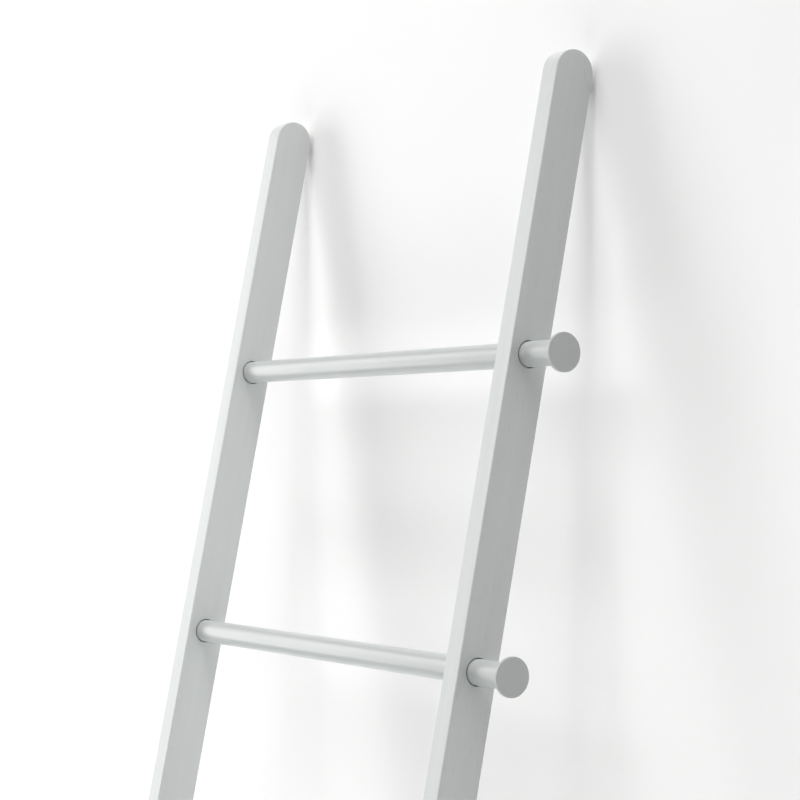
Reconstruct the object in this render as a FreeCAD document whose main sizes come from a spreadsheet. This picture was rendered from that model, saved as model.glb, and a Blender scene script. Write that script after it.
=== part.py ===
import FreeCAD, Part
import enum
import math
import os
import Sketcher

# Leaning towel ladder of adjustable width.
# Two painted wooden stiles carry tubular rungs. Each rung is bolted into the left stile, runs right through
# the right stile and ends in a flared knob, so that it is a rail inside and a peg outside. The right stile
# slides along the rungs on thin liner bushes, and the knobs keep it on.
# Millimetres. X runs along the rungs to the right, Y goes back to the wall and Z is up from the floor.

os.makedirs("parts", exist_ok=True)
doc = FreeCAD.newDocument("towel_ladder")

driving_sizes = [
    ("lean_angle", 11.5, "degrees that the stiles lean back from upright"),
    ("stile_thickness", 23, "stile, across the ladder"),
    ("stile_depth", 45, "stile, front to back"),
    ("arris_radius", 1.2, "eased edges of a stile's side faces"),
    ("inner_width", 512, "clear width between the stiles, as set in the rest pose"),
    ("rung_count", 5, "rungs"),
    ("bottom_gap", 305, "floor to lowest rung, along the stile's centre line"),
    ("rung_spacing", 305, "rung to rung, along the stile"),
    ("top_gap", 305, "highest rung to top of stile"),
    ("rung_diameter", 25, "outside of the rung tube"),
    ("rung_wall", 1.2, "wall of the rung tube"),
    ("ring_gap", 1.0, "radial shadow gap round a rung where it enters a stile"),
    ("socket_depth", 12, "depth of the left stile's sockets"),
    ("peg_length", 54.5, "right stile's outer face to the knob's face, in the rest pose"),
    ("head_diameter", 38, "knob's flared head"),
    ("head_rim", 3.6, "thickness of the head at its rim"),
    ("head_edge", 0.5, "chamfer of both rim edges"),
    ("spigot_length", 18, "part of the knob that is pressed into the tube"),
    ("plug_length", 24, "threaded plug in the tube's left end"),
    ("plug_fit", 0.04, "radial clearance of plug and spigot in the tube, filled by adhesive"),
    ("lead_in", 0.8, "chamfer on the leading ends of plug, spigot and screw"),
    ("screw_diameter", 6, "rung screw, over the thread"),
    ("screw_length", 30, "rung screw, over all"),
    ("screw_head_diameter", 12, "countersunk head"),
    ("thread_fit", 0.05, "radial clearance that stands for the thread"),
    ("screw_clearance", 0.25, "radial clearance of the screw and its head in the stile"),
    ("key_size", 4, "hexagon socket, across flats"),
    ("key_depth", 2.6, "depth of the hexagon socket"),
    ("bush_length", 17, "liner bush, along the rung"),
    ("bush_fit", 0.03, "radial clearance of the bush in the stile, filled by adhesive"),
    ("slide_clearance", 0.08, "radial running clearance of the rung in the bush"),
    ("pad_thickness", 3, "rubber foot pad"),
    ("pad_inset", 1, "foot pad's step in from the stile's faces"),
    ("pad_corner", 4, "corner radius of the foot pad"),
    ("stem_diameter", 8, "foot pad's stem"),
    ("stem_length", 15, "foot pad's stem above the pad"),
    ("stem_fit", 0.05, "radial clearance of the stem in its hole"),
    ("stem_end_gap", 0.5, "clearance above the stem's end"),
]

sheet = doc.addObject("Spreadsheet::Sheet", "Sizes")
for row, (alias, value, meaning) in enumerate(driving_sizes, start=1):
    sheet.set(f"A{row}", alias)
    sheet.set(f"B{row}", str(value))
    sheet.set(f"C{row}", meaning)
    sheet.setAlias(f"B{row}", alias)
doc.recompute()

# Sizes worked out from the driving ones
derived_sizes = [
    ("half_depth", "Sizes.stile_depth / 2"),
    ("stile_length", "Sizes.bottom_gap + (Sizes.rung_count - 1) * Sizes.rung_spacing + Sizes.top_gap"),
    ("shoulder", "Derived.stile_length - Derived.half_depth"),
    ("foot_level", "Sizes.pad_thickness / cos(Sizes.lean_angle)"),
    ("foot_back", "Derived.foot_level + Derived.half_depth * tan(Sizes.lean_angle)"),
    ("foot_front", "Derived.foot_level - Derived.half_depth * tan(Sizes.lean_angle)"),
    ("foot_centre", "Sizes.pad_thickness * tan(Sizes.lean_angle)"),
    ("toe", "Derived.half_depth / cos(Sizes.lean_angle) - Derived.foot_centre"),
    ("wall_reach", "Derived.shoulder * sin(Sizes.lean_angle) + Derived.half_depth"),
    ("foot_y", "(Derived.toe - Derived.wall_reach) / 2"),
    ("half_thickness", "Sizes.stile_thickness / 2"),
    ("head_face_x", "Sizes.stile_thickness + (Sizes.inner_width + Sizes.peg_length) / 2"),
    ("left_x", "-Derived.head_face_x"),
    ("right_x", "Derived.left_x + Sizes.stile_thickness + Sizes.inner_width"),
    ("tube_x", "Derived.left_x + Sizes.stile_thickness - Sizes.socket_depth"),
    ("rung_radius", "Sizes.rung_diameter / 2"),
    ("bore_radius", "Derived.rung_radius - Sizes.rung_wall"),
    ("hole_diameter", "Sizes.rung_diameter + 2 * Sizes.ring_gap"),
    ("head_radius", "Sizes.head_diameter / 2"),
    ("head_flat", "Derived.head_radius - Sizes.head_edge"),
    ("cove_end", "Derived.head_flat - Derived.rung_radius"),
    ("rim_back", "Derived.cove_end + Sizes.head_edge"),
    ("head_length", "Derived.cove_end + Sizes.head_rim"),
    ("rim_front", "Derived.head_length - Sizes.head_edge"),
    ("seam_x", "Derived.head_face_x - Derived.head_length"),
    ("tube_length", "Derived.seam_x - Derived.tube_x"),
    ("plug_radius", "Derived.bore_radius - Sizes.plug_fit"),
    ("plug_end_radius", "Derived.plug_radius - Sizes.lead_in"),
    ("plug_taper", "Sizes.plug_length - Sizes.lead_in"),
    ("spigot_taper", "Sizes.spigot_length - Sizes.lead_in"),
    ("screw_radius", "Sizes.screw_diameter / 2"),
    ("screw_head_radius", "Sizes.screw_head_diameter / 2"),
    ("screw_head_depth", "Derived.screw_head_radius - Derived.screw_radius"),
    ("screw_taper", "Sizes.screw_length - Sizes.lead_in"),
    ("screw_end_radius", "Derived.screw_radius - Sizes.lead_in"),
    ("tapped_radius", "Derived.screw_radius + Sizes.thread_fit"),
    ("screw_hole", "Sizes.screw_diameter + 2 * Sizes.screw_clearance"),
    ("countersink", "Sizes.screw_head_diameter + 2 * Sizes.screw_clearance"),
    ("key_half", "Sizes.key_size / 2"),
    ("key_corner", "Sizes.key_size / sqrt(3)"),
    ("key_corner_half", "Derived.key_corner / 2"),
    ("bush_x", "Derived.right_x + (Sizes.stile_thickness - Sizes.bush_length) / 2"),
    ("bush_outside", "Derived.rung_radius + Sizes.ring_gap - Sizes.bush_fit"),
    ("bush_inside", "Derived.rung_radius + Sizes.slide_clearance"),
    ("pad_half_width", "Derived.half_thickness - Sizes.pad_inset"),
    ("pad_half_length", "Derived.half_depth / cos(Sizes.lean_angle) - Sizes.pad_inset"),
    ("pad_corner_x", "Derived.pad_half_width - Sizes.pad_corner"),
    ("pad_corner_y", "Derived.pad_half_length - Sizes.pad_corner"),
    ("stem_top", "Sizes.pad_thickness + Sizes.stem_length"),
    ("stem_hole", "Sizes.stem_diameter + 2 * Sizes.stem_fit"),
    ("stem_hole_top", "Derived.stem_top + Sizes.stem_end_gap"),
]

derived = doc.addObject("App::VarSet", "Derived")
for name, expression in derived_sizes:
    derived.addProperty("App::PropertyFloat", name, "Sizes")
for name, expression in derived_sizes:
    derived.setExpression(name, expression)
doc.recompute()

right_angle = 90
full_turn = 360


class Axis(enum.IntEnum):
    # A sketch's own axes, among its geometry
    along = -1
    out = -2


class At(enum.IntEnum):
    # The points of a line, an arc or a circle in a sketch
    start = 1
    end = 2
    centre = 3


def number(size):
    # The value of a size such as "Sizes.rung_wall" or "-Derived.toe", to draw a sketch near its solution
    sign = -1.0 if size.startswith("-") else 1.0
    owner, name = size.lstrip("-").split(".")
    return sign * float(getattr(doc.getObject(owner), name))


def point(along, out):
    return FreeCAD.Vector(number(along) if along else 0.0, number(out) if out else 0.0, 0.0)


def bind_distance(sketch, kind, geometry, position, size):
    # Ties one coordinate of a sketch point to a size
    constraint = Sketcher.Constraint(kind, Axis.along, At.start, geometry, position, number(size))
    index = sketch.addConstraint(constraint)
    sketch.setExpression(f"Constraints[{index}]", size)


def bind_point(sketch, geometry, position, along, out):
    # A coordinate that is None lies on the axis
    if along:
        bind_distance(sketch, "DistanceX", geometry, position, along)
    else:
        sketch.addConstraint(Sketcher.Constraint("PointOnObject", geometry, position, Axis.out))
    if out:
        bind_distance(sketch, "DistanceY", geometry, position, out)
    else:
        sketch.addConstraint(Sketcher.Constraint("PointOnObject", geometry, position, Axis.along))


def add_body(name):
    body = doc.addObject("PartDesign::Body", name)
    body.Label = name
    return body


def add_sketch(body, name, plane, turn_axis=None):
    # A sketch on one of the body's own origin planes; turn_axis leaves room for a tilt bound later
    sketch = body.newObject("Sketcher::SketchObject", f"{body.Name}_{name}")
    support = next(item for item in body.Origin.OriginFeatures if item.Role == plane)
    sketch.AttachmentSupport = [(support, "")]
    sketch.MapMode = "FlatFace"
    if turn_axis:
        tilt = FreeCAD.Rotation(turn_axis, right_angle)
        sketch.AttachmentOffset = FreeCAD.Placement(FreeCAD.Vector(), tilt)
    return sketch


def add_outline(sketch, corners):
    # A closed outline, counter-clockwise. A corner is (along, out), and an arc that leads on from it adds
    # the arc's centre, (along, out, centre along, centre out).
    for index, corner in enumerate(corners):
        start = point(*corner[:2])
        end = point(*corners[(index + 1) % len(corners)][:2])
        if len(corner) == 2:
            sketch.addGeometry(Part.LineSegment(start, end))
            continue
        centre = point(*corner[2:])
        bulges_out = (start - centre).cross(end - centre).z >= -Part.Precision.confusion()
        first, last = (start, end) if bulges_out else (end, start)
        circle = Part.Circle(centre, FreeCAD.Vector(0, 0, 1), (start - centre).Length)
        angles = [math.atan2(end_point.y - centre.y, end_point.x - centre.x) for end_point in (first, last)]
        sketch.addGeometry(Part.ArcOfCircle(circle, *angles))
    ends = []
    for index, corner in enumerate(corners):
        start = point(*corner[:2])
        offsets = [(sketch.getPoint(index, position) - start).Length for position in (At.start, At.end)]
        ends.append((At.start, At.end) if offsets[0] < offsets[1] else (At.end, At.start))
    for index, corner in enumerate(corners):
        before = index - 1 if index else len(corners) - 1
        join = Sketcher.Constraint("Coincident", before, ends[before][1], index, ends[index][0])
        sketch.addConstraint(join)
        bind_point(sketch, index, ends[index][0], *corner[:2])
        if len(corner) == 4:
            bind_distance(sketch, "DistanceY", index, At.centre, corner[3])


def add_circle(sketch, along, out, diameter):
    circle = Part.Circle(point(along, out), FreeCAD.Vector(0, 0, 1), number(diameter) / 2)
    index = sketch.addGeometry(circle)
    bind_point(sketch, index, At.centre, along, out)
    constraint = sketch.addConstraint(Sketcher.Constraint("Diameter", index, number(diameter)))
    sketch.setExpression(f"Constraints[{constraint}]", diameter)


def add_pad(body, name, sketch, length):
    pad = body.newObject("PartDesign::Pad", f"{body.Name}_{name}")
    pad.Profile = sketch
    pad.setExpression("Length", length)
    doc.recompute()
    return pad


def add_pocket(body, name, sketch, length, into_normal):
    # A cut of the given length, along the sketch's normal or against it
    volume = body.Shape.Volume
    pocket = body.newObject("PartDesign::Pocket", f"{body.Name}_{name}")
    pocket.Profile = sketch
    pocket.Reversed = into_normal
    pocket.setExpression("Length", length)
    doc.recompute()
    check_cut(pocket, volume)
    return pocket


def check_cut(feature, volume_before):
    if not feature.Shape.Volume < volume_before:
        raise RuntimeError(f"{feature.Name} cuts nothing")


def add_turned(name, corners):
    # A turned piece: an outline in the XY plane, spun round the X axis
    body = add_body(name)
    sketch = add_sketch(body, "outline", "XY_Plane")
    add_outline(sketch, corners)
    turned = body.newObject("PartDesign::Revolution", f"{name}_turned")
    turned.Profile = sketch
    turned.ReferenceAxis = (sketch, ["H_Axis"])
    turned.Angle = full_turn
    doc.recompute()
    return body


def place(body, along, back="0", up="0"):
    body.setExpression(".Placement.Base.x", along)
    body.setExpression(".Placement.Base.y", back)
    body.setExpression(".Placement.Base.z", up)


def place_on_rung(body, along, index):
    # Rungs are counted from the lowest, and step up along the leaning stiles
    distance = f"(Sizes.bottom_gap + {index} * Sizes.rung_spacing)"
    back = f"Derived.foot_y + {distance} * sin(Sizes.lean_angle)"
    up = f"{distance} * cos(Sizes.lean_angle)"
    place(body, along, back, up)


def add_rung_pattern(body, sketch, cuts):
    # Repeats the cuts for the lowest rung at every rung
    volume = body.Shape.Volume
    pattern = body.newObject("PartDesign::LinearPattern", f"{body.Name}_rung_pattern")
    pattern.Originals = cuts
    pattern.Direction = (sketch, ["V_Axis"])
    pattern.setExpression("Length", "(Sizes.rung_count - 1) * Sizes.rung_spacing")
    pattern.setExpression("Occurrences", "Sizes.rung_count")
    body.Tip = pattern
    doc.recompute()
    check_cut(pattern, volume)


def side_faces(shape):
    # Names of the faces that look along X
    x_axis = FreeCAD.Vector(1, 0, 0)
    return [f"Face{index}" for index, face in enumerate(shape.Faces, start=1)
            if face.normalAt(0, 0).cross(x_axis).Length < Part.Precision.confusion()]


def add_stile(name, along):
    # Stile without its rung holes: round top, foot cut level with the floor, eased arrises and a hole for
    # the foot pad's stem. Its own Z runs up the centre line and its X from the outer or inner face.
    body = add_body(name)
    sketch = add_sketch(body, "side_view", "YZ_Plane")
    add_outline(sketch, [
        ("Derived.half_depth", "Derived.foot_back"),
        ("Derived.half_depth", "Derived.shoulder", None, "Derived.shoulder"),
        ("-Derived.half_depth", "Derived.shoulder"),
        ("-Derived.half_depth", "Derived.foot_front"),
    ])
    blank = add_pad(body, "blank", sketch, "Sizes.stile_thickness")
    arrises = body.newObject("PartDesign::Fillet", f"{name}_arrises")
    arrises.Base = (blank, side_faces(blank.Shape))
    arrises.setExpression("Radius", "Sizes.arris_radius")
    doc.recompute()
    level = add_sketch(body, "stem_hole_place", "XY_Plane", FreeCAD.Vector(1, 0, 0))
    level.setExpression(".AttachmentOffset.Rotation.Angle", "Sizes.lean_angle")
    add_circle(level, "Derived.half_thickness", "Derived.foot_centre", "Derived.stem_hole")
    add_pocket(body, "stem_hole", level, "Derived.stem_hole_top", True)
    lean = FreeCAD.Rotation(FreeCAD.Vector(-1, 0, 0), right_angle)
    body.Placement = FreeCAD.Placement(FreeCAD.Vector(), lean)
    body.setExpression(".Placement.Rotation.Angle", "Sizes.lean_angle")
    place(body, along, "Derived.foot_y")
    return body


def add_left_stile():
    # Blind sockets inside, countersunk screw holes from outside
    body = add_stile("left_stile", "Derived.left_x")
    inner_face = add_sketch(body, "socket_place", "YZ_Plane")
    inner_face.setExpression(".AttachmentOffset.Base.z", "Sizes.stile_thickness")
    add_circle(inner_face, None, "Sizes.bottom_gap", "Derived.hole_diameter")
    socket = add_pocket(body, "socket", inner_face, "Sizes.socket_depth", False)
    outer_face = add_sketch(body, "screw_place", "YZ_Plane")
    add_circle(outer_face, None, "Sizes.bottom_gap", "Derived.screw_hole")
    doc.recompute()
    volume = body.Shape.Volume
    screw_hole = body.newObject("PartDesign::Hole", "left_stile_screw_hole")
    screw_hole.Profile = outer_face
    screw_hole.Reversed = True
    screw_hole.DepthType = "ThroughAll"
    screw_hole.HoleCutType = "Countersink"
    screw_hole.HoleCutCountersinkAngle = right_angle
    screw_hole.setExpression("Diameter", "Derived.screw_hole")
    screw_hole.setExpression("HoleCutDiameter", "Derived.countersink")
    doc.recompute()
    check_cut(screw_hole, volume)
    add_rung_pattern(body, outer_face, [socket, screw_hole])
    return body


def add_right_stile():
    # Plain holes right through, for the bushes
    body = add_stile("right_stile", "Derived.right_x")
    inner_face = add_sketch(body, "bush_hole_place", "YZ_Plane")
    add_circle(inner_face, None, "Sizes.bottom_gap", "Derived.hole_diameter")
    bush_hole = add_pocket(body, "bush_hole", inner_face, "Sizes.stile_thickness", True)
    add_rung_pattern(body, inner_face, [bush_hole])
    return body


def add_foot_pad(name, along):
    # Rubber pad under a stile, with a stem pressed up into the stile's foot
    body = add_body(name)
    sketch = add_sketch(body, "sole", "XY_Plane")
    add_outline(sketch, [
        ("Derived.pad_half_width", "-Derived.pad_corner_y"),
        ("Derived.pad_half_width", "Derived.pad_corner_y", "Derived.pad_corner_x", "Derived.pad_corner_y"),
        ("Derived.pad_corner_x", "Derived.pad_half_length"),
        ("-Derived.pad_corner_x", "Derived.pad_half_length",
         "-Derived.pad_corner_x", "Derived.pad_corner_y"),
        ("-Derived.pad_half_width", "Derived.pad_corner_y"),
        ("-Derived.pad_half_width", "-Derived.pad_corner_y",
         "-Derived.pad_corner_x", "-Derived.pad_corner_y"),
        ("-Derived.pad_corner_x", "-Derived.pad_half_length"),
        ("Derived.pad_corner_x", "-Derived.pad_half_length",
         "Derived.pad_corner_x", "-Derived.pad_corner_y"),
    ])
    add_pad(body, "sole_pad", sketch, "Sizes.pad_thickness")
    stem = add_sketch(body, "stem_place", "XY_Plane")
    add_circle(stem, None, None, "Sizes.stem_diameter")
    add_pad(body, "stem", stem, "Derived.stem_top")
    place(body, f"{along} + Derived.half_thickness", "Derived.foot_y + Derived.foot_centre")
    return body


def add_rung_tube(name):
    return add_turned(name, [
        (None, "Derived.bore_radius"),
        ("Derived.tube_length", "Derived.bore_radius"),
        ("Derived.tube_length", "Derived.rung_radius"),
        (None, "Derived.rung_radius"),
    ])


def add_peg_knob(name):
    # Spigot, then a cove that flares from the tube's diameter to a thin disc with chamfered rims.
    # X = 0 is the seam with the tube.
    return add_turned(name, [
        ("-Sizes.spigot_length", None),
        ("Derived.head_length", None),
        ("Derived.head_length", "Derived.head_flat"),
        ("Derived.rim_front", "Derived.head_radius"),
        ("Derived.rim_back", "Derived.head_radius"),
        ("Derived.cove_end", "Derived.head_flat", None, "Derived.head_flat"),
        (None, "Derived.rung_radius"),
        (None, "Derived.plug_radius"),
        ("-Derived.spigot_taper", "Derived.plug_radius"),
        ("-Sizes.spigot_length", "Derived.plug_end_radius"),
    ])


def add_threaded_plug(name):
    return add_turned(name, [
        (None, "Derived.tapped_radius"),
        ("Sizes.plug_length", "Derived.tapped_radius"),
        ("Sizes.plug_length", "Derived.plug_end_radius"),
        ("Derived.plug_taper", "Derived.plug_radius"),
        (None, "Derived.plug_radius"),
    ])


def add_rung_screw(name):
    # Countersunk screw with a hexagon socket. X = 0 is the head's face.
    body = add_turned(name, [
        (None, None),
        ("Sizes.screw_length", None),
        ("Sizes.screw_length", "Derived.screw_end_radius"),
        ("Derived.screw_taper", "Derived.screw_radius"),
        ("Derived.screw_head_depth", "Derived.screw_radius"),
        (None, "Derived.screw_head_radius"),
    ])
    sketch = add_sketch(body, "key_place", "YZ_Plane")
    add_outline(sketch, [
        ("Derived.key_corner", None),
        ("Derived.key_corner_half", "Derived.key_half"),
        ("-Derived.key_corner_half", "Derived.key_half"),
        ("-Derived.key_corner", None),
        ("-Derived.key_corner_half", "-Derived.key_half"),
        ("Derived.key_corner_half", "-Derived.key_half"),
    ])
    add_pocket(body, "key_socket", sketch, "Sizes.key_depth", True)
    return body


def add_slide_bush(name):
    return add_turned(name, [
        (None, "Derived.bush_inside"),
        ("Sizes.bush_length", "Derived.bush_inside"),
        ("Sizes.bush_length", "Derived.bush_outside"),
        (None, "Derived.bush_outside"),
    ])


# The pieces of one rung, and where each starts along the ladder
rung_pieces = [
    ("rung_tube", add_rung_tube, "Derived.tube_x"),
    ("peg_knob", add_peg_knob, "Derived.seam_x"),
    ("threaded_plug", add_threaded_plug, "Derived.tube_x"),
    ("rung_screw", add_rung_screw, "Derived.left_x"),
    ("slide_bush", add_slide_bush, "Derived.bush_x"),
]

bodies = [
    add_left_stile(),
    add_right_stile(),
    add_foot_pad("left_foot_pad", "Derived.left_x"),
    add_foot_pad("right_foot_pad", "Derived.right_x"),
]
for rung in range(int(sheet.rung_count)):
    for piece, add_piece, along in rung_pieces:
        body = add_piece(f"{piece}_{rung + 1}")
        place_on_rung(body, along, rung)
        bodies.append(body)
doc.recompute()

for item in doc.Objects:
    if "Invalid" in item.State or "Error" in item.State:
        raise RuntimeError(f"{item.Name} failed: {item.State}")
for body in bodies:
    if body.Shape.isNull() or not body.Shape.isValid() or len(body.Shape.Solids) != 1:
        raise RuntimeError(f"{body.Label} is not one valid solid")
for body in bodies:
    body.Shape.exportStep(f"parts/{body.Label}.step")
print(f"wrote {len(bodies)} pieces")
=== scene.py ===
import math

import bmesh
import bpy
from mathutils import Euler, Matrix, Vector


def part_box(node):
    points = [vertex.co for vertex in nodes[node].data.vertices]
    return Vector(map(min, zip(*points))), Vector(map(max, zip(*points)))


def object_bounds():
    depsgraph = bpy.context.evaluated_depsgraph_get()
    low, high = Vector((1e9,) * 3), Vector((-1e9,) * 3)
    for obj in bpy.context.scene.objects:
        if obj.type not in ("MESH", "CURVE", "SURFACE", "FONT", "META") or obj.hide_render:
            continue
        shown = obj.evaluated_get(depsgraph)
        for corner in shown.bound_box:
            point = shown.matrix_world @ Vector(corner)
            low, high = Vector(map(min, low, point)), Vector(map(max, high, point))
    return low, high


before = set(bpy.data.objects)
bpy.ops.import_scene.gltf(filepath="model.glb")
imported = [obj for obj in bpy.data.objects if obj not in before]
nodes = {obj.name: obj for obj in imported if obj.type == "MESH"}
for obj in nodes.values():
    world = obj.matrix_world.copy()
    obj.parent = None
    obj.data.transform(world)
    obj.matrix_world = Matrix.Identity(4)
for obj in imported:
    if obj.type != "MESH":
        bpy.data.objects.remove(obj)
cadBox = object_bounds()  # the CAD pieces alone, which set where the wall stands
scene = bpy.context.scene


def middleOf(node):
    low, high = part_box(node)
    return (low + high) / 2


rungs = sorted(name for name in nodes if name.startswith("rung_tube"))  # lowest first
lowestRung = middleOf(rungs[0])
rungRise = middleOf(rungs[-1]) - lowestRung
rungPitch = rungRise.length / (len(rungs) - 1)
leanAngle = math.atan2(rungRise.y, rungRise.z)  # how far the stiles lean back
print("stiles lean back by", round(math.degrees(leanAngle), 2), "degrees")


def linearColour(hexColour):
    channels = [int(hexColour[i:i + 2], 16) / 255 for i in (1, 3, 5)]
    return [c / 12.92 if c <= 0.04045 else ((c + 0.055) / 1.055) ** 2.4 for c in channels] + [1]


def addNode(tree, kind, settings=None, **inputs):  # inputs: name or i0, i1... = value or output socket
    node = tree.nodes.new(kind)
    for name, value in (settings or {}).items():
        setattr(node, name, value)
    for name, value in inputs.items():
        key = int(name[1:]) if name[0] == "i" and name[1:].isdigit() else name.replace("_", " ")
        if isinstance(value, bpy.types.NodeSocket):
            tree.links.new(value, node.inputs[key])
        else:
            node.inputs[key].default_value = value
    return node


def newMaterial(name):
    material = bpy.data.materials.new(name)
    material.use_nodes = True
    material.node_tree.nodes.clear()
    return material, material.node_tree


# Camera, at the photo's viewing angle
photoView = {
    "place": (1.8185, -1.0642, 1.4011),  # metres
    "heading": 56.43,  # degrees from +Y, turning towards -X
    "pitch": 1.45,  # degrees above the horizon
    "lens": 92.6,  # mm
    "sensor": 36,  # mm
}


def addCamera():
    camera = bpy.data.objects.new("photoCamera", bpy.data.cameras.new("photoCamera"))
    camera.data.lens = photoView["lens"]
    camera.data.sensor_width = photoView["sensor"]
    camera.location = photoView["place"]
    tilt = math.radians(90 + photoView["pitch"])  # an unturned camera looks straight down
    camera.rotation_euler = (tilt, 0, math.radians(photoView["heading"]))
    scene.collection.objects.link(camera)
    scene.camera = camera


addCamera()
print("camera set")


# Studio: a plain floor that turns up into the wall that the ladder leans on
studio = {
    "sides": (-2.2, 3.2),  # metres
    "floorDepth": 3.4,
    "wallHeight": 3.4,
    "cornerRadius": 0.03,
    "cornerSegments": 6,
    "wallGap": 0.004,  # between the wall and the stiles' tops
    "wallPaint": ("#F8F7F7", "#F4F3F3"),
    "floorPaint": ("#CED1D0", "#CACDCC"),
    "floorReach": 60,  # degrees of the corner's quarter turn that have the floor's paint
    "cloudSize": 300,  # mm, slow drift of the paint's thickness
    "surround": "#C6CACC",  # what the camera sees past the floor and the wall
}
skyLight = 0.95  # soft light of the room, from the left
upperRungs = (0, 0.1, 1.45)  # metres, what most lamps point at
overhead = (0, -0.9, 9)
wallRight = (0.85, 0.2, 1.2)
leftStile = (-0.28, 0.08, 1.35)
lamps = {  # place, aim and size in metres, spread in degrees, power in watts
    "ceilingLamp": {"place": (1.2, -0.9, 5.8), "aim": upperRungs,  # the right sides and the peg heads
                    "size": (2.4, 2.4), "spread": 180, "power": 146},
    "topLamp": {"place": (0, -3.03, 4.69), "aim": upperRungs,  # the fronts, and the rungs' shadows
                "size": (2.4, 4.0), "spread": 180, "power": 86},
    "tallLamp": {"place": (-2.83, -1.4, 1.7), "aim": upperRungs,  # makes the left brighter than the right
                 "size": (1.2, 3.2), "spread": 180, "power": 53},
    "floorGlow": {"place": (0, -0.9, 0.004), "aim": overhead,  # what a paler floor would throw back up
                  "size": (2.4, 2.4), "spread": 130, "power": 17},
    "wallWash": {"place": (0.95, -2.6, 1.5), "aim": wallRight,  # past the ladder, on the wall alone
                 "size": (0.3, 0.3), "spread": 24, "power": 0.25},
    "sideFill": {"place": (1.9, -0.52, 1.5), "aim": leftStile,  # the left stile's inner side
                 "size": (0.06, 1.0), "spread": 7, "power": 0.05},
}


def mattPaint(name, colours):
    # Rolled emulsion, dead matt, a shade uneven. It is seen through from behind, so that the back of the
    # ladder can be looked at.
    material, tree = newMaterial(name)
    place = addNode(tree, "ShaderNodeTexCoord").outputs["Object"]
    clouds = addNode(tree, "ShaderNodeTexNoise", Vector=place, Scale=1000 / studio["cloudSize"])
    colour = addNode(tree, "ShaderNodeMix", {"data_type": "RGBA"}, i0=clouds.outputs["Fac"],
                     i6=linearColour(colours[1]), i7=linearColour(colours[0])).outputs[2]
    paint = addNode(tree, "ShaderNodeBsdfDiffuse", Color=colour)
    clear = addNode(tree, "ShaderNodeBsdfTransparent")
    side = addNode(tree, "ShaderNodeNewGeometry")
    both = addNode(tree, "ShaderNodeMixShader", i0=side.outputs["Backfacing"],
                   i1=paint.outputs[0], i2=clear.outputs[0])
    addNode(tree, "ShaderNodeOutputMaterial", Surface=both.outputs[0])
    return material


def pullEdge(bm, edge, move):  # a new face from the edge; gives back its far edge
    grown = bmesh.ops.extrude_edge_only(bm, edges=[edge])["geom"]
    ends = [part for part in grown if isinstance(part, bmesh.types.BMVert)]
    bmesh.ops.translate(bm, verts=ends, vec=move)
    return bm.edges.get(ends)


def addBackdrop():
    wallPlace = cadBox[1].y + studio["wallGap"]
    bm = bmesh.new()
    front = [bm.verts.new((side, wallPlace - studio["floorDepth"], 0)) for side in studio["sides"]]
    corner = pullEdge(bm, bm.edges.new(front), (0, studio["floorDepth"], 0))
    pullEdge(bm, corner, (0, 0, studio["wallHeight"]))
    bmesh.ops.bevel(bm, geom=[corner], offset=studio["cornerRadius"], offset_type="OFFSET",
                    affect="EDGES", segments=studio["cornerSegments"], profile=0.5, material=-1)
    bm.normal_update()
    largest = max(bm.faces, key=lambda face: face.calc_area())
    if largest.normal.dot((0, -1, 1)) < 0:  # the floor faces up and the wall faces the room
        bmesh.ops.reverse_faces(bm, faces=bm.faces)
    floorLimit = math.cos(math.radians(studio["floorReach"]))
    for face in bm.faces:
        face.material_index = int(face.normal.z > floorLimit)  # 0 is the wall's paint, 1 the floor's
    mesh = bpy.data.meshes.new("backdrop")
    bm.to_mesh(mesh)
    bm.free()
    mesh.shade_smooth()
    mesh.materials.append(mattPaint("mattWallPaint", studio["wallPaint"]))
    mesh.materials.append(mattPaint("mattFloorPaint", studio["floorPaint"]))
    backdrop = bpy.data.objects.new("backdrop", mesh)
    scene.collection.objects.link(backdrop)


def addLamps():
    for name, lamp in lamps.items():
        light = bpy.data.lights.new(name, "AREA")
        light.size, light.size_y = lamp["size"]
        light.shape = "DISK" if light.size == light.size_y else "RECTANGLE"
        light.spread = math.radians(lamp["spread"])
        light.energy = lamp["power"]
        holder = bpy.data.objects.new(name, light)
        holder.location = lamp["place"]
        away = Vector(lamp["place"]) - Vector(lamp["aim"])
        holder.rotation_euler = away.to_track_quat("Z", "Y").to_euler()  # a lamp shines along its -Z
        holder.visible_camera = False
        scene.collection.objects.link(holder)


def addSky():
    scene.world = bpy.data.worlds.new("softRoom")
    scene.world.use_nodes = True
    tree = scene.world.node_tree
    tree.nodes.clear()
    towards = addNode(tree, "ShaderNodeTexCoord").outputs["Generated"]
    facing = addNode(tree, "ShaderNodeVectorMath", {"operation": "DOT_PRODUCT"}, i0=towards, i1=(-1, 0, 0))
    lobe = addNode(tree, "ShaderNodeMath", {"operation": "MAXIMUM"}, i0=facing.outputs["Value"], i1=0)
    lobe = addNode(tree, "ShaderNodeMath", {"operation": "POWER"}, i0=lobe.outputs[0], i1=2)
    light = addNode(tree, "ShaderNodeMath", {"operation": "MULTIPLY"}, i0=lobe.outputs[0], i1=skyLight)
    sky = addNode(tree, "ShaderNodeBackground", Strength=light.outputs[0])
    surround = addNode(tree, "ShaderNodeBackground", Color=linearColour(studio["surround"]))
    seen = addNode(tree, "ShaderNodeLightPath").outputs["Is Camera Ray"]
    both = addNode(tree, "ShaderNodeMixShader", i0=seen, i1=sky.outputs[0], i2=surround.outputs[0])
    addNode(tree, "ShaderNodeOutputWorld", Surface=both.outputs[0])
    scene.view_settings.view_transform = "Standard"  # the photo's plain tones


addBackdrop()
addLamps()
addSky()
print("studio set")

noiseLow, noiseHigh = 0.3, 0.7  # between which a noise texture mostly stays


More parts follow.
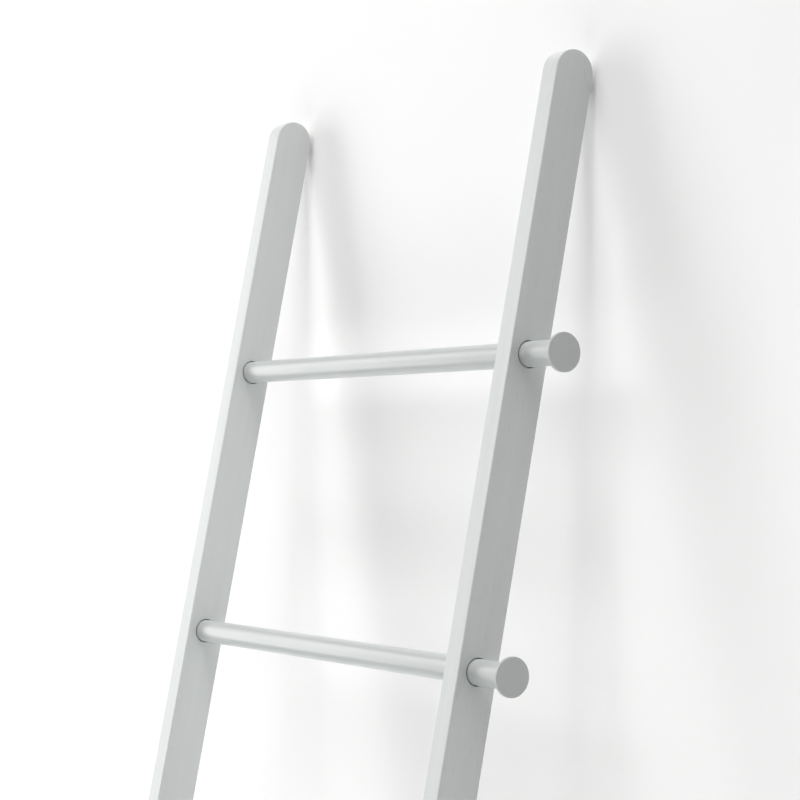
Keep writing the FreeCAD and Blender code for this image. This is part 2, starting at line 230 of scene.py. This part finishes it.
def uprightPlace(tree):  # Object coordinates, turned so that Z runs up the stiles
    place = addNode(tree, "ShaderNodeTexCoord").outputs["Object"]
    return addNode(tree, "ShaderNodeMapping", Vector=place, Rotation=(leanAngle, 0, 0)).outputs[0]


# Stiles: beech under a sprayed satin lacquer
stileFinish = {
    "light": "#CCCFCE",
    "dark": "#BDC0BF",
    "roughness": (0.40, 0.50),
    "glossTone": (0.2, 1),  # from the dullest tone to the glossiest; 0 is dark and 1 is light
    "bandWidth": 8,  # mm, the growth rings where they meet a face
    "bandLength": 420,
    "bandTone": (0.68, 0.92),
    "fleckSpacing": 3.6,  # mm, the short ray flecks of the wood, drawn a little coarser than real
    "fleckRun": 26,
    "fleckEdge": (0.24, 0.05),  # of the spacing, where a fleck starts and where it is full
    "fleckTone": (0.2, -0.55),  # what the palest and the darkest fleck add
    "grainDepth": 0.03,
    "relief": 0.5,  # share of the depth that the lacquer leaves
}


def lacqueredBeech():
    # Close-grained wood, sanded and sprayed: an even light grey, in which growth bands and short ray flecks
    # only just show. They run up the stiles, and meet the round tops end on.
    material, tree = newMaterial("lacqueredBeech")
    upright = uprightPlace(tree)

    def drawnOut(width, length):
        across, along = 1000 / stileFinish[width], 1000 / stileFinish[length]
        return addNode(tree, "ShaderNodeMapping", Vector=upright, Scale=(across, across, along)).outputs[0]

    bands = addNode(tree, "ShaderNodeTexNoise", Vector=drawnOut("bandWidth", "bandLength"), Scale=1,
                    Detail=3, Roughness=0.6).outputs["Fac"]
    cells = addNode(tree, "ShaderNodeTexVoronoi", Vector=drawnOut("fleckSpacing", "fleckRun"), Scale=1)
    fleckEdge, fleckTone = stileFinish["fleckEdge"], stileFinish["fleckTone"]
    fleck = addNode(tree, "ShaderNodeMapRange", i0=cells.outputs["Distance"],
                    i1=fleckEdge[0], i2=fleckEdge[1], i3=0, i4=1).outputs[0]
    lot = addNode(tree, "ShaderNodeSeparateColor", Color=cells.outputs["Color"]).outputs[0]
    strength = addNode(tree, "ShaderNodeMapRange", i0=lot, i1=0, i2=1,
                       i3=fleckTone[0], i4=fleckTone[1]).outputs[0]
    tone = addNode(tree, "ShaderNodeMapRange", i0=bands, i1=noiseLow, i2=noiseHigh,
                   i3=stileFinish["bandTone"][0], i4=stileFinish["bandTone"][1]).outputs[0]
    tone = addNode(tree, "ShaderNodeMath", {"operation": "MULTIPLY_ADD"},
                   i0=fleck, i1=strength, i2=tone).outputs[0]
    colour = addNode(tree, "ShaderNodeMix", {"data_type": "RGBA"}, i0=tone,
                     i6=linearColour(stileFinish["dark"]), i7=linearColour(stileFinish["light"])).outputs[2]
    dull, glossy = stileFinish["glossTone"]
    gloss = addNode(tree, "ShaderNodeMapRange", i0=tone, i1=dull, i2=glossy,
                    i3=stileFinish["roughness"][1], i4=stileFinish["roughness"][0]).outputs[0]
    relief = addNode(tree, "ShaderNodeBump", i0=stileFinish["relief"], Height=tone,
                     Distance=stileFinish["grainDepth"] / 1000).outputs[0]
    shader = addNode(tree, "ShaderNodeBsdfPrincipled", Base_Color=colour, Roughness=gloss, Normal=relief,
                     IOR=1.5)
    addNode(tree, "ShaderNodeOutputMaterial", Surface=shader.outputs[0])
    return material


# Rungs and pegs: steel under a satin powder coat
rungFinish = {
    "colour": "#B8BBBA",
    "shade": "#B4B7B6",
    "cloudSize": 45,  # mm, slow drift of the coat's thickness
    "roughness": (0.29, 0.34),
    "peelSize": 1.2,  # mm
    "peelDepth": 0.0015,
    "relief": 0.5,
}


def powderCoatedSteel():
    # Baked powder paint: smooth and satin, with a very fine orange peel that softens its highlight.
    material, tree = newMaterial("powderCoatedSteel")
    place = addNode(tree, "ShaderNodeTexCoord").outputs["Object"]
    clouds, peel = [addNode(tree, "ShaderNodeTexNoise", Vector=place, Scale=1000 / rungFinish[size],
                            Detail=2).outputs["Fac"] for size in ("cloudSize", "peelSize")]
    colour = addNode(tree, "ShaderNodeMix", {"data_type": "RGBA"}, i0=clouds,
                     i6=linearColour(rungFinish["shade"]), i7=linearColour(rungFinish["colour"])).outputs[2]
    gloss = addNode(tree, "ShaderNodeMapRange", i0=clouds, i1=noiseLow, i2=noiseHigh,
                    i3=rungFinish["roughness"][0], i4=rungFinish["roughness"][1]).outputs[0]
    relief = addNode(tree, "ShaderNodeBump", i0=rungFinish["relief"], Height=peel,
                     Distance=rungFinish["peelDepth"] / 1000).outputs[0]
    shader = addNode(tree, "ShaderNodeBsdfPrincipled", Base_Color=colour, Roughness=gloss, Normal=relief,
                     IOR=1.5)
    addNode(tree, "ShaderNodeOutputMaterial", Surface=shader.outputs[0])
    return material


# Fittings inside the rungs' left ends: screws from outside, and the plugs that they go into
screwFinish = {
    "light": "#D3D6DA",
    "dark": "#A9ADB3",
    "roughness": (0.29, 0.44),
    "turning": 0.45,  # mm between tool marks, coarser than real so that they show
    "markDepth": 0.008,
    "relief": 0.5,
}
plugFinish = {
    "light": "#DBDCDD",
    "dark": "#BFC1C3",
    "roughness": (0.30, 0.45),
    "turning": 0.6,  # mm, coarser than real too
    "markDepth": 0.012,
    "relief": 0.5,
}
waveRate = 20  # a wave texture of scale 1 runs this many radians in each unit of length


def turnedMetal(name, finish):
    # Metal off a lathe: tool marks run round the rung's own axis and spread the light across them.
    material, tree = newMaterial(name)
    upright = addNode(tree, "ShaderNodeSeparateXYZ", Vector=uprightPlace(tree)).outputs
    axis = Vector((0, lowestRung.y, lowestRung.z))
    axis.rotate(Euler((leanAngle, 0, 0)))
    fromAxis = addNode(tree, "ShaderNodeMath", {"operation": "SUBTRACT"}, i0=upright[1], i1=axis.y)
    nearRung = addNode(tree, "ShaderNodeMath", {"operation": "WRAP"}, i0=upright[2],
                       i1=axis.z + rungPitch / 2, i2=axis.z - rungPitch / 2)  # every rung alike
    fromRung = addNode(tree, "ShaderNodeMath", {"operation": "SUBTRACT"}, i0=nearRung.outputs[0], i1=axis.z)
    around = addNode(tree, "ShaderNodeCombineXYZ", X=upright[0], Y=fromAxis.outputs[0],
                     Z=fromRung.outputs[0]).outputs[0]
    marks = addNode(tree, "ShaderNodeTexWave", {"wave_type": "RINGS", "rings_direction": "X"},
                    Vector=around, Scale=math.tau / waveRate * 1000 / finish["turning"],
                    Distortion=1.5, Detail=2).outputs["Fac"]
    colour = addNode(tree, "ShaderNodeMix", {"data_type": "RGBA"}, i0=marks,
                     i6=linearColour(finish["dark"]), i7=linearColour(finish["light"])).outputs[2]
    gloss = addNode(tree, "ShaderNodeMapRange", i0=marks, i1=0, i2=1,
                    i3=finish["roughness"][1], i4=finish["roughness"][0]).outputs[0]
    relief = addNode(tree, "ShaderNodeBump", i0=finish["relief"], Height=marks,
                     Distance=finish["markDepth"] / 1000).outputs[0]
    shader = addNode(tree, "ShaderNodeBsdfPrincipled", Base_Color=colour, Metallic=1, Roughness=gloss,
                     Normal=relief)
    addNode(tree, "ShaderNodeOutputMaterial", Surface=shader.outputs[0])
    return material


# Bushes in the right stile and pads under the feet
bushFinish = {
    "light": "#2A2B2C",
    "dark": "#1C1D1E",
    "ior": 1.53,
    "roughness": (0.42, 0.58),
    "grit": 0.9,  # mm
    "gritDepth": 0.02,
    "relief": 0.6,
    "scuffHeight": 0,
}
padFinish = {
    "light": "#4A4A49",
    "dark": "#353536",
    "ior": 1.52,
    "roughness": (0.72, 0.9),
    "grit": 1.3,  # mm, coarser than real so that it shows
    "gritDepth": 0.12,
    "relief": 0.6,
    "scuffHeight": 1.6,  # mm above the floor
    "scuff": "#6E6D6A",
}


def mouldedPlastic(name, finish):
    # Moulded in one go: dark through and through, with the fine matt grit of the mould.
    material, tree = newMaterial(name)
    place = addNode(tree, "ShaderNodeTexCoord").outputs["Object"]
    grit = addNode(tree, "ShaderNodeTexNoise", Vector=place, Scale=1000 / finish["grit"], Detail=3,
                   Roughness=0.65).outputs["Fac"]
    colour = addNode(tree, "ShaderNodeMix", {"data_type": "RGBA"}, i0=grit,
                     i6=linearColour(finish["dark"]), i7=linearColour(finish["light"])).outputs[2]
    if finish["scuffHeight"]:  # dust and scuffs where the pad meets the floor
        height = addNode(tree, "ShaderNodeSeparateXYZ", Vector=place).outputs[2]
        edge = addNode(tree, "ShaderNodeMapRange", i0=height, i1=finish["scuffHeight"] / 1000, i2=0,
                       i3=0, i4=1).outputs[0]
        worn = addNode(tree, "ShaderNodeMath", {"operation": "MULTIPLY"}, i0=edge, i1=grit).outputs[0]
        colour = addNode(tree, "ShaderNodeMix", {"data_type": "RGBA"}, i0=worn, i6=colour,
                         i7=linearColour(finish["scuff"])).outputs[2]
    gloss = addNode(tree, "ShaderNodeMapRange", i0=grit, i1=noiseLow, i2=noiseHigh,
                    i3=finish["roughness"][0], i4=finish["roughness"][1]).outputs[0]
    relief = addNode(tree, "ShaderNodeBump", i0=finish["relief"], Height=grit,
                     Distance=finish["gritDepth"] / 1000).outputs[0]
    shader = addNode(tree, "ShaderNodeBsdfPrincipled", Base_Color=colour, Roughness=gloss, Normal=relief,
                     IOR=finish["ior"])
    addNode(tree, "ShaderNodeOutputMaterial", Surface=shader.outputs[0])
    return material


rungPaint = powderCoatedSteel()
finishes = {  # by what is in a piece's name
    "stile": lacqueredBeech(),
    "rung_tube": rungPaint,
    "peg_knob": rungPaint,
    "rung_screw": turnedMetal("zincPlatedSteel", screwFinish),
    "threaded_plug": turnedMetal("turnedAluminium", plugFinish),
    "slide_bush": mouldedPlastic("mouldedNylon", bushFinish),
    "foot_pad": mouldedPlastic("mouldedRubber", padFinish),
}
for name, node in nodes.items():
    kind = next(kind for kind in finishes if kind in name)
    node.data.materials.clear()
    node.data.materials.append(finishes[kind])
print("finishes on", len(nodes), "pieces")
